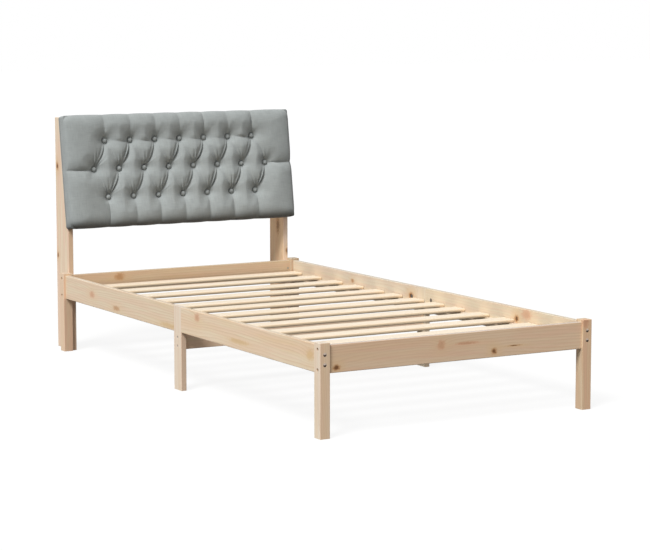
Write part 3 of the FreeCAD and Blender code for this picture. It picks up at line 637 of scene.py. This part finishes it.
def fabricMaterial():
    material, w, shader = newMaterial("greyLinen")
    cover = w.add("UVMap", uv_map="cover").outputs["UV"]
    weave = w.group(weaveGroup, Place=cover, Gap=fabric["threadGap"])
    thread = w.remap(weave["Slub"], *noiseSpan, 0.0, 1.0, smoothly=False)
    colour = w.blend(thread, fabric["deep"], fabric["pale"])
    mottle = w.remap(weave["Mottle"], *noiseSpan, *fabric["mottle"], smoothly=False)
    colour = w.blend(1.0, colour, mottle, "MULTIPLY")
    # painted shade: it is darker where it turns under at the bottom border, and behind at the
    # sides
    parts = w.add("SeparateXYZ")
    w.feed(parts.inputs[0], cover)
    start, end, dark = fabric["paintedUnderShade"]
    paintedUnderMask = w.math("POWER", w.remap(parts.outputs["Y"], start, end), 2.0)
    paintedUnderMask = w.math("MULTIPLY", paintedUnderMask, dark)
    paintedSideMasks = []
    for start, end, dark in (fabric["paintedLeftShade"], fabric["paintedRightShade"]):
        paintedSideMasks.append(w.remap(parts.outputs["X"], start, end, 0.0, dark))
    shade = w.math("MAXIMUM", paintedUnderMask, w.math("MAXIMUM", *paintedSideMasks))
    colour = w.blend(shade, colour, fabric["shade"])
    w.feed(shader.inputs["Base Color"], colour)
    rough = w.remap(weave["Height"], -1.0, 1.0, *fabric["roughness"], smoothly=False)
    w.feed(shader.inputs["Roughness"], rough)
    shader.inputs["Specular IOR Level"].default_value = fabric["specular"]
    shader.inputs["Sheen Weight"].default_value = fabric["sheen"]
    shader.inputs["Sheen Roughness"].default_value = fabric["sheenRoughness"]
    coarse = w.bump(weave["Slub"], *fabric["slubRelief"])
    w.feed(shader.inputs["Normal"], w.bump(weave["Height"], *fabric["weaveRelief"], coarse))
    return material


linen = fabricMaterial()

# Headboard: places are given across, out of the front and up the slope of the posts, in metres

headboard = {
    "postLine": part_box("head_rail")[1].y,
    "slopeStart": 0.470,
    "slopeRun": 0.0635,
    "slopeRise": 0.441,
    "low": 0.008,
    "high": 0.450,
    "halfWidth": 0.5,
    "panel": 0.012,
    "panelSetback": 0.003,
}
headboard["tilt"] = math.atan2(headboard["slopeRun"], headboard["slopeRise"])
tuft = {
    "across": 0.109,
    "rows": (0.347, 0.236, 0.125),
    "counts": (7, 8, 7),
    "seat": 0.0338,
    "crown": 0.073,
    "edge": 0.045,
    "sideRoll": 0.092,
    "endRoll": 0.056,
    "corner": 0.008,
    "cornerPower": 5,
    "blend": 4.5,
    "creaseSoftness": 0.30,
    "dipPower": 0.8,
    # a button's pocket is a steep pit in a wide funnel, each with its share of the depth
    "pitFlat": 0.0108,
    "pitReach": 0.034,
    "pitShare": 0.40,
    "funnelReach": 0.068,
    "funnelShare": 0.60,
    "funnelPower": 1.35,
    "grid": 0.0026,
    "smoothBelow": 60,
}
tuft["deepest"] = 1 - tuft["seat"] / tuft["crown"]
# a narrow fold that lies along a pleat, and the groove to the left of it
folds = {
    "lip": 0.0085,
    "lipWidth": 0.0036,
    "lipPlace": 0.0005,
    "lipPower": 1.5,
    "push": 0.0045,
    "groove": 0.004,
    "grooveLeast": 0.3,
    "grooveWidth": 0.8,
    "groovePlace": -0.0085,
    "sag": 0.004,
    # how strongly each pleat that runs down to the left is folded over, from left to right
    "upper": (0.5, 1.2, 0.35, 1.2, 0.7, 0.5, 0.6),
    "lower": (0.5, 0.4, 0.35, 0.7, 0.9, 0.6, 0.9),
}
# gathers that fan out above the buttons of the two lower rows; a wave has from how many to how
# many turns in 2 pi, and its height
fan = {
    "height": 0.0022,
    "reach": 0.029,
    "turn": 0.12,
    "width": 0.80,
    "topRow": 0.12,
    "allRound": 0.04,
    "endColumn": 3.2,
    "endTurn": -0.30,
    "endWidth": 0.55,
    "waves": ((17, 21, 1.0), (25, 31, 0.7)),
    "risePower": 1.3,
    "fade": 1.1,
    "fadePower": 1.5,
    "fullness": 1.6,
    "seed": 40,
}
# the pleats from a button to the border, on the slant to the middle row, from it to the sides,
# and level between the buttons of the top row. Depths are shares of the crown at the start,
# halfway and at the end, where a pair is a range. Reach is how far the pillows on the two sides,
# right or above first, roll down to the crease
pleatSizes = {
    "seed": 5,
    "edgeDepths": (0.50, (0.22, 0.32), 0.20),
    "edgeReach": (0.052, 0.046),
    "edgeSoft": 0.004,
    "edgeSharp": 0.001,
    "sharpColumns": (4, 6),
    "topLean": (-0.012, -0.004),
    "bottomLean": (-0.003, 0.004),
    "outerReach": 0.085,
    "firstReach": 0.150,
    "firstDeeper": 0.14,
    "slantDepths": (0.54, (0.26, 0.36), 0.54),
    "slantReach": (0.056, 0.052),
    "slantSag": (-0.002, 0.003),
    "slantSoft": 0.006,
    "foldedDepth": 0.30,
    "foldedDeeper": 0.12,
    "sideDepths": (0.50, 0.30, 0.24),
    "sideReach": (0.060, 0.046),
    "sideSag": 0.003,
    "sideDrop": 0.002,
    "levelDepths": (0.45, (0.20, 0.33), 0.50),
    "levelReach": (0.034, 0.052),
    "levelInset": 0.010,
    "levelRises": (0.007, -0.006),
    "levelSag": (0.6, 1.4),
    "levelSoft": 0.006,
    "levelEndSoft": 0.003,
}


def buttonPlaces():
    places = []
    for up, count in zip(tuft["rows"], tuft["counts"]):
        for column in range(count):
            places.append(((column - (count - 1) / 2) * tuft["across"], up))
    return places


buttons = buttonPlaces()


def pleatLines():
    top, middle, bottom = tuft["rows"]
    last = tuft["counts"][0] - 1
    size = pleatSizes
    dice = random.Random(size["seed"])
    lines = []

    def pleat(start, end, depths, reach, sag=0.0, soft=0.0, lip=0.0):
        lines.append({"start": start, "end": end, "depths": depths, "reach": reach, "sag": sag,
                      "soft": soft, "lip": lip})

    def edgePleat(x, up, column, reach):
        lean = dice.uniform(*size["topLean" if up == top else "bottomLean"])
        start, halfway, end = size["edgeDepths"]
        halfway = dice.uniform(*halfway)
        if up == bottom and column == 0:
            # this one is the deepest, and its pillow rolls down to it from far off
            halfway += size["firstDeeper"]
            end += size["firstDeeper"]
            reach = (reach[0], size["firstReach"])
        border = headboard["high"] if up == top else headboard["low"]
        sharp = up == top and column in size["sharpColumns"]
        pleat((x, up), (x + lean, border), (start, halfway, end), reach,
              soft=size["edgeSharp" if sharp else "edgeSoft"])

    def slantPleat(x, up, column, side, reach):
        start, halfway, end = size["slantDepths"]
        lip = 0.0
        soft = size["slantSoft"]
        # the fabric is folded over where a pleat runs down to the left
        if (side < 0) == (up == top):
            lip = folds["upper" if up == top else "lower"][column]
            soft = 0.0
            halfway = size["foldedDepth"] + size["foldedDeeper"] * lip
        else:
            halfway = dice.uniform(*halfway)
        pleat((x, up), (x + side * tuft["across"] / 2, middle), (start, halfway, end),
              (max(reach[0], size["slantReach"][0]), max(reach[1], size["slantReach"][1])),
              dice.uniform(*size["slantSag"]), soft, lip)

    for index, (x, up) in enumerate(buttons):
        if up == middle:
            continue
        column = index % sum(tuft["counts"][:2])
        # the outer pillows roll down more slowly to the first and the last column
        right, left = size["edgeReach"]
        right = size["outerReach"] if column == last else right
        left = size["outerReach"] if column == 0 else left
        edgePleat(x, up, column, (right, left))
        for side in (-1, 1):
            slantPleat(x, up, column, side, (right, left))
    for side in (-1, 1):
        x = side * (tuft["counts"][1] - 1) / 2 * tuft["across"]
        pleat((x, middle), (side * headboard["halfWidth"], middle - size["sideDrop"]),
              size["sideDepths"], size["sideReach"], size["sideSag"])
    for column in range(last):
        x = (column - last / 2) * tuft["across"]
        start, halfway, end = size["levelDepths"]
        halfway = dice.uniform(*halfway)
        inset = size["levelInset"]
        fromUp, toUp = (top + rise for rise in size["levelRises"])
        atEnd = column in (0, last - 1)
        pleat((x + inset, fromUp), (x + tuft["across"] - inset, toUp), (start, halfway, end),
              size["levelReach"], folds["sag"] * dice.uniform(*size["levelSag"]),
              size["levelEndSoft" if atEnd else "levelSoft"])
    return lines


pleats = pleatLines()


def roundOff(distance, reach):
    # 1 at a crease, falling to 0 at its reach like the side of a plump pillow
    share = 1 - np.clip(distance / reach, 0, 1)
    return mix(1 - np.sqrt(1 - share ** 2), share ** 2, tuft["creaseSoftness"])


def domeOf(x, up):
    # the front without its tufts: level in the middle and rounded off at the border
    fromSide = np.clip((headboard["halfWidth"] - np.abs(x)) / tuft["sideRoll"], 0, 1)
    fromEnd = np.minimum(up - headboard["low"], headboard["high"] - up)
    fromEnd = np.clip(fromEnd / tuft["endRoll"], 0, 1)
    power = tuft["cornerPower"]
    corner = ((1 - fromSide) ** power + (1 - fromEnd) ** power) ** (1 / power)
    rise = np.sqrt(1 - np.clip(corner, 0, 1) ** 2)
    return tuft["edge"] + (tuft["crown"] - tuft["edge"]) * rise


def pleatAt(x, up, line):
    # how deep one pleat is at the places x, up, and how far its fold stands out
    start, end = line["start"], line["end"]
    dx = end[0] - start[0]
    du = end[1] - start[1]
    length = math.hypot(dx, du)
    along = np.clip(((x - start[0]) * dx + (up - start[1]) * du) / length ** 2, 0, 1)
    bow = np.sin(math.pi * along)
    offX = x - start[0] - along * dx
    offUp = up - start[1] - along * du + line["sag"] * bow
    # how far to the right of the pleat, or above a level one
    beside = (offX * abs(du) - offUp * abs(dx) * (1 if dx * du > 0 else -1)) / length
    ridge = 0.0
    if line["lip"]:
        # the fold pushes the crease to the right
        lip = folds["lip"] * line["lip"] * bow ** folds["lipPower"]
        lip = lip * np.exp(-((beside - folds["lipPlace"]) / folds["lipWidth"]) ** 2)
        groove = mix(folds["grooveLeast"], 1.0, line["lip"]) * folds["groove"] * bow
        grooveWidth = folds["grooveWidth"] * folds["lipWidth"]
        groove = groove * np.exp(-((beside - folds["groovePlace"]) / grooveWidth) ** 2)
        ridge = lip - groove
        past = np.hypot(offX, offUp) * ((along <= 0) | (along >= 1))
        distance = np.hypot(beside - folds["push"] * bow, past)
    else:
        distance = np.sqrt(offX ** 2 + offUp ** 2 + line["soft"] ** 2)
    first, halfway, last = line["depths"]
    depth = mix(first, last, along)
    depth += (halfway - (first + last) / 2) * bow ** tuft["dipPower"]
    reach = np.where(beside > 0, line["reach"][0], line["reach"][1])
    return depth * roundOff(distance, reach), ridge


def pocketAt(reach):
    # how deep a button's pocket is at this reach from it
    beyond = np.clip(reach - tuft["pitFlat"], 0, None)
    funnel = (1 - np.clip(beyond / tuft["funnelReach"], 0, 1)) ** tuft["funnelPower"]
    pit = tuft["pitShare"] * roundOff(beyond, tuft["pitReach"]) + tuft["funnelShare"] * funnel
    return tuft["deepest"] * pit


def gathersAt(x, up, bx, bu, reach, seed):
    # the small waves of the cloth round the button at bx, bu
    dice = random.Random(seed)
    angle = np.arctan2(x - bx, up - bu) + dice.uniform(-fan["turn"], fan["turn"])
    strength = 1.0 if bu < tuft["rows"][0] else fan["topRow"]
    atEnd = abs(bx) > fan["endColumn"] * tuft["across"]
    turn = fan["endTurn"] * math.copysign(1, bx) if atEnd else 0.0
    width = fan["endWidth" if atEnd else "width"]
    spread = np.exp(-((angle - turn) / width) ** 4) * strength + fan["allRound"]
    wave = 0.0
    for low, high, height in fan["waves"]:
        wave = wave + height * np.sin(angle * dice.uniform(low, high) + dice.uniform(0, 6))
    share = reach / fan["reach"]
    fade = np.exp(fan["fade"] - fan["fade"] * share ** fan["fadePower"])
    return fan["height"] * spread * wave * share ** fan["risePower"] * fade


def frontOf(x, up):
    # how far the fabric stands out at the places x, up of the front
    total = np.zeros_like(x)
    ridges = np.zeros_like(x)
    for line in pleats:
        depth, ridge = pleatAt(x, up, line)
        total += depth ** tuft["blend"]
        ridges += ridge
    gathers = np.zeros_like(x)
    for index, (bx, bu) in enumerate(buttons):
        reach = np.hypot(x - bx, up - bu)
        total += pocketAt(reach) ** tuft["blend"]
        gathers += gathersAt(x, up, bx, bu, reach, index + fan["seed"])
    sunk = np.minimum(total ** (1 / tuft["blend"]), tuft["deepest"])
    gathers = gathers * np.clip(fan["fullness"] * (1 - sunk), 0, 1)
    return domeOf(x, up) * (1 - sunk) + ridges + gathers


# the cover's sides run from the front's border round to the back and into the panel's recess, in
# rings: how far each stands out of the border, and at what share of the front's height
sides = {
    "inset": 0.001,
    "rings": ((0.0008, 0.93), (0.0020, 0.80), (0.0029, 0.62), (0.0031, 0.42), (0.0025, 0.24),
              (0.0013, 0.09), (0.0003, 0.02)),
    "backInset": 0.0006,
    "overPanel": 0.0008,
    "fromPanel": 0.0003,
    "drawnIn": 0.25,
    "fullness": 0.6,
    "sideFrom": 0.01,
}


def lobes(x, up):
    # how full the sides are: they are drawn in at the corners and where a pleat ends
    if abs(x) > headboard["halfWidth"] - sides["sideFrom"]:
        middle = tuft["rows"][1]
        low, high = (middle, headboard["high"]) if up > middle else (headboard["low"], middle)
        share = (up - low) / (high - low)
    else:
        outer = (tuft["counts"][0] - 1) / 2
        share = x / tuft["across"]
        if abs(share) < outer:
            return abs(math.sin(math.pi * share)) ** sides["fullness"]
        room = headboard["halfWidth"] - outer * tuft["across"]
        share = min(1.0, (abs(x) - outer * tuft["across"]) / room)
    return max(0.0, math.sin(math.pi * share)) ** sides["fullness"]


def planOf(x, up, halfWide, halfTall, middleUp):
    # the square corners of the grid are drawn in to arcs; also the way out of the border there
    beyondX = np.clip(np.abs(x) - (halfWide - tuft["corner"]), 0, None)
    beyondUp = np.clip(np.abs(up - middleUp) - (halfTall - tuft["corner"]), 0, None)
    reach = np.maximum(np.hypot(beyondX, beyondUp), 1e-9)
    pull = 1 - np.maximum(beyondX, beyondUp) / reach
    signX = np.sign(x)
    signUp = np.sign(up - middleUp)
    newX = x - signX * beyondX * pull
    newUp = up - signUp * beyondUp * pull
    return newX, newUp, signX * beyondX / reach, signUp * beyondUp / reach


def addCushion():
    wide = 2 * headboard["halfWidth"] - sides["inset"]
    tall = headboard["high"] - headboard["low"] - sides["inset"]
    columns = round(wide / tuft["grid"])
    rows = round(tall / tuft["grid"])
    deselectAll()
    bpy.ops.mesh.primitive_grid_add(x_subdivisions=columns, y_subdivisions=rows, size=1)
    piece = bpy.context.object
    piece.name = "cushionCover"
    middleUp = (headboard["low"] + headboard["high"]) / 2
    mesh = bmesh.new()
    mesh.from_mesh(piece.data)
    cover = mesh.loops.layers.uv.new("cover")
    xs = np.array([vert.co.x * wide for vert in mesh.verts])
    ups = np.array([middleUp + vert.co.y * tall for vert in mesh.verts])
    xs, ups, waysX, waysUp = planOf(xs, ups, wide / 2, tall / 2, middleUp)
    outs = frontOf(xs, ups)
    flat = {}
    for vert, *found in zip(mesh.verts, xs, ups, outs, waysX, waysUp):
        x, up, out, wayX, wayUp = (float(value) for value in found)
        flat[vert] = (x, up, out, wayX, wayUp)
        vert.co = Vector((x, -out, up))
    border = [edge for edge in mesh.edges if edge.is_boundary]
    recess = headboard["panelSetback"] - sides["overPanel"]
    back = sides["fromPanel"]
    rings = [(spread, share, None) for spread, share in sides["rings"]]
    rings += [(-sides["backInset"], 0.0, back), (-recess, 0.0, back),
              (-recess, 0.0, headboard["panel"] + back)]
    for spread, share, out in rings:
        grown = bmesh.ops.extrude_edge_only(mesh, edges=border)["geom"]
        fresh = [item for item in grown if isinstance(item, bmesh.types.BMVert)]
        border = [item for item in grown
                  if isinstance(item, bmesh.types.BMEdge) and item.is_boundary]
        isNew = set(fresh)
        sources = {}
        for vert in fresh:
            others = (edge.other_vert(vert) for edge in vert.link_edges)
            sources[vert] = next(other for other in others if other not in isNew)
        for vert, source in sources.items():
            x, up, front, wayX, wayUp = flat[vert] = flat[source]
            if spread > 0:
                full = spread * mix(sides["drawnIn"], 1.0, lobes(x, up))
            else:
                full = spread
            height = share * front if out is None else out
            vert.co = Vector((x + wayX * full, -height, up + wayUp * full))
    bmesh.ops.contextual_create(mesh, geom=border)
    bmesh.ops.recalc_face_normals(mesh, faces=mesh.faces)
    for face in mesh.faces:
        for loop in face.loops:
            # the cloth runs on round the border; in front of it, around is zero
            x, up, front, wayX, wayUp = flat[loop.vert]
            around = front + loop.vert.co.y
            loop[cover].uv = (x + wayX * around, up + wayUp * around)
    mesh.to_mesh(piece.data)
    mesh.free()
    return piece


def leanBack(piece):
    # from the headboard's own frame to the bed's
    tilt = headboard["tilt"]
    start = Vector((0.0, headboard["postLine"], headboard["slopeStart"]))
    piece.data.transform(Matrix.Translation(start) @ Matrix.Rotation(-tilt, 4, "X"))
    piece.data.update()


cushion = addCushion()
leanBack(cushion)
smooth(cushion, tuft["smoothBelow"])
dress(cushion, linen)
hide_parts("headboard_cushion")
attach(cushion, "root")
print("cushion made:", len(cushion.data.polygons), "faces")

# Buttons: a domed fabric cap, modelled once and copied to every tuft

buttonCap = {
    "radius": 0.0102,
    "height": 0.0105,
    "base": 0.0346,
    "below": 0.0012,
    "slant": 5,
    "segments": 32,
    "rings": 16,
    "smoothBelow": 50,
}


def addButtonCap():
    deselectAll()
    bpy.ops.mesh.primitive_uv_sphere_add(
        segments=buttonCap["segments"], ring_count=buttonCap["rings"], radius=buttonCap["radius"])
    cap = bpy.context.object
    below = buttonCap["below"]
    bpy.ops.object.mode_set(mode="EDIT")
    bpy.ops.mesh.select_all(action="SELECT")
    bpy.ops.mesh.bisect(plane_co=(0, 0, -below), plane_no=(0, 0, 1), clear_inner=True,
                        use_fill=True)
    bpy.ops.mesh.select_all(action="SELECT")
    bpy.ops.transform.resize(value=(1, 1, buttonCap["height"] / (buttonCap["radius"] + below)))
    bpy.ops.object.mode_set(mode="OBJECT")
    return cap


def addButtons():
    cap = addButtonCap()
    lowest = min(vert.co.z for vert in cap.data.vertices)
    deselectAll()
    caps = []
    for index, (across, up) in enumerate(buttons):
        copy = cap.copy()
        copy.data = cap.data.copy()
        bpy.context.scene.collection.objects.link(copy)
        # each cap sits at its own slight slant
        dice = random.Random(index)
        most = buttonCap["slant"]
        slant = Matrix.Rotation(math.radians(dice.uniform(-most, most)), 4, "X")
        slant = slant @ Matrix.Rotation(math.radians(dice.uniform(-most, most)), 4, "Y")
        out = buttonCap["base"] - lowest
        place = Matrix.Translation(Vector((across, -out, up)))
        copy.data.transform(place @ Matrix.Rotation(math.radians(90), 4, "X") @ slant)
        caps.append(copy)
    bpy.data.objects.remove(cap)
    deselectAll()
    for copy in caps:
        copy.select_set(True)
    bpy.context.view_layer.objects.active = caps[0]
    bpy.ops.object.join()
    piece = bpy.context.object
    piece.name = "tuftButtons"
    cover = piece.data.uv_layers.new(name="cover")
    for loop in piece.data.loops:
        place = piece.data.vertices[loop.vertex_index].co
        cover.data[loop.index].uv = (place.x, place.z)
    return piece


tuftButtons = addButtons()
leanBack(tuftButtons)
smooth(tuftButtons, buttonCap["smoothBelow"])
dress(tuftButtons, linen)
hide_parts("cushion_buttons")
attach(tuftButtons, "root")
print("buttons made:", len(buttons))

# Camera, lights and floor

view = {
    "place": (-3.9684, -7.0819, 1.3992),
    "turn": 29.96,
    "dip": 7.226,
    "lens": 123.667,
    "sensor": 36.0,
    "farthest": 100.0,
}
light = {
    "sky": 0.44,
    "sun": 3.15,
    "sunFrom": (-0.56, -0.34, 0.76),
    "sunSpread": 22.0,
    "floor": 0.12,
    "floorGlow": 0.88,
    "floorRoughness": 0.9,
    "floorSize": 60,
    "floorDrop": 0.0005,
}


def addCamera():
    data = bpy.data.cameras.new("photoCamera")
    camera = bpy.data.objects.new("photoCamera", data)
    bpy.context.scene.collection.objects.link(camera)
    camera.location = view["place"]
    camera.rotation_euler = (math.radians(90 - view["dip"]), 0.0, math.radians(-view["turn"]))
    data.sensor_width = view["sensor"]
    data.lens = view["lens"]
    data.clip_end = view["farthest"]
    bpy.context.scene.camera = camera


def whiteToCamera(w):
    # 1 for rays from the camera, and for what metal mirrors or glass lets through
    path = w.add("LightPath")
    seen = w.math("MAXIMUM", path.outputs["Is Camera Ray"], path.outputs["Is Glossy Ray"])
    return w.math("MAXIMUM", seen, path.outputs["Is Transmission Ray"])


def addWorld():
    world = bpy.data.worlds.new("studio")
    bpy.context.scene.world = world
    world.use_nodes = True
    w = Wiring(world.node_tree)
    background = w.add("Background")
    background.inputs["Color"].default_value = (1.0, 1.0, 1.0, 1.0)
    strength = w.remap(whiteToCamera(w), 0.0, 1.0, light["sky"], 1.0, smoothly=False)
    w.feed(background.inputs["Strength"], strength)
    output = w.add("OutputWorld")
    w.feed(output.inputs["Surface"], background.outputs[0])


def addSun():
    data = bpy.data.lights.new("softSun", "SUN")
    data.energy = light["sun"]
    data.angle = math.radians(light["sunSpread"])
    sun = bpy.data.objects.new("softSun", data)
    bpy.context.scene.collection.objects.link(sun)
    sun.rotation_euler = Vector(light["sunFrom"]).to_track_quat("Z", "Y").to_euler()


def addFloor():
    deselectAll()
    drop = light["floorDrop"]
    bpy.ops.mesh.primitive_plane_add(size=light["floorSize"], location=(0, 0, -drop))
    floor = bpy.context.object
    floor.name = "floor"
    material, w, shader = newMaterial("paleFloor")
    grey = light["floor"]
    shader.inputs["Base Color"].default_value = (grey, grey, grey, 1.0)
    shader.inputs["Roughness"].default_value = light["floorRoughness"]
    shader.inputs["Specular IOR Level"].default_value = 0.0
    shader.inputs["Emission Color"].default_value = (1, 1, 1, 1)
    glow = w.math("MULTIPLY", whiteToCamera(w), light["floorGlow"])
    w.feed(shader.inputs["Emission Strength"], glow)
    dress(floor, material)
    settle(floor)


addCamera()
addWorld()
addSun()
addFloor()
bpy.context.scene.view_settings.view_transform = "Standard"
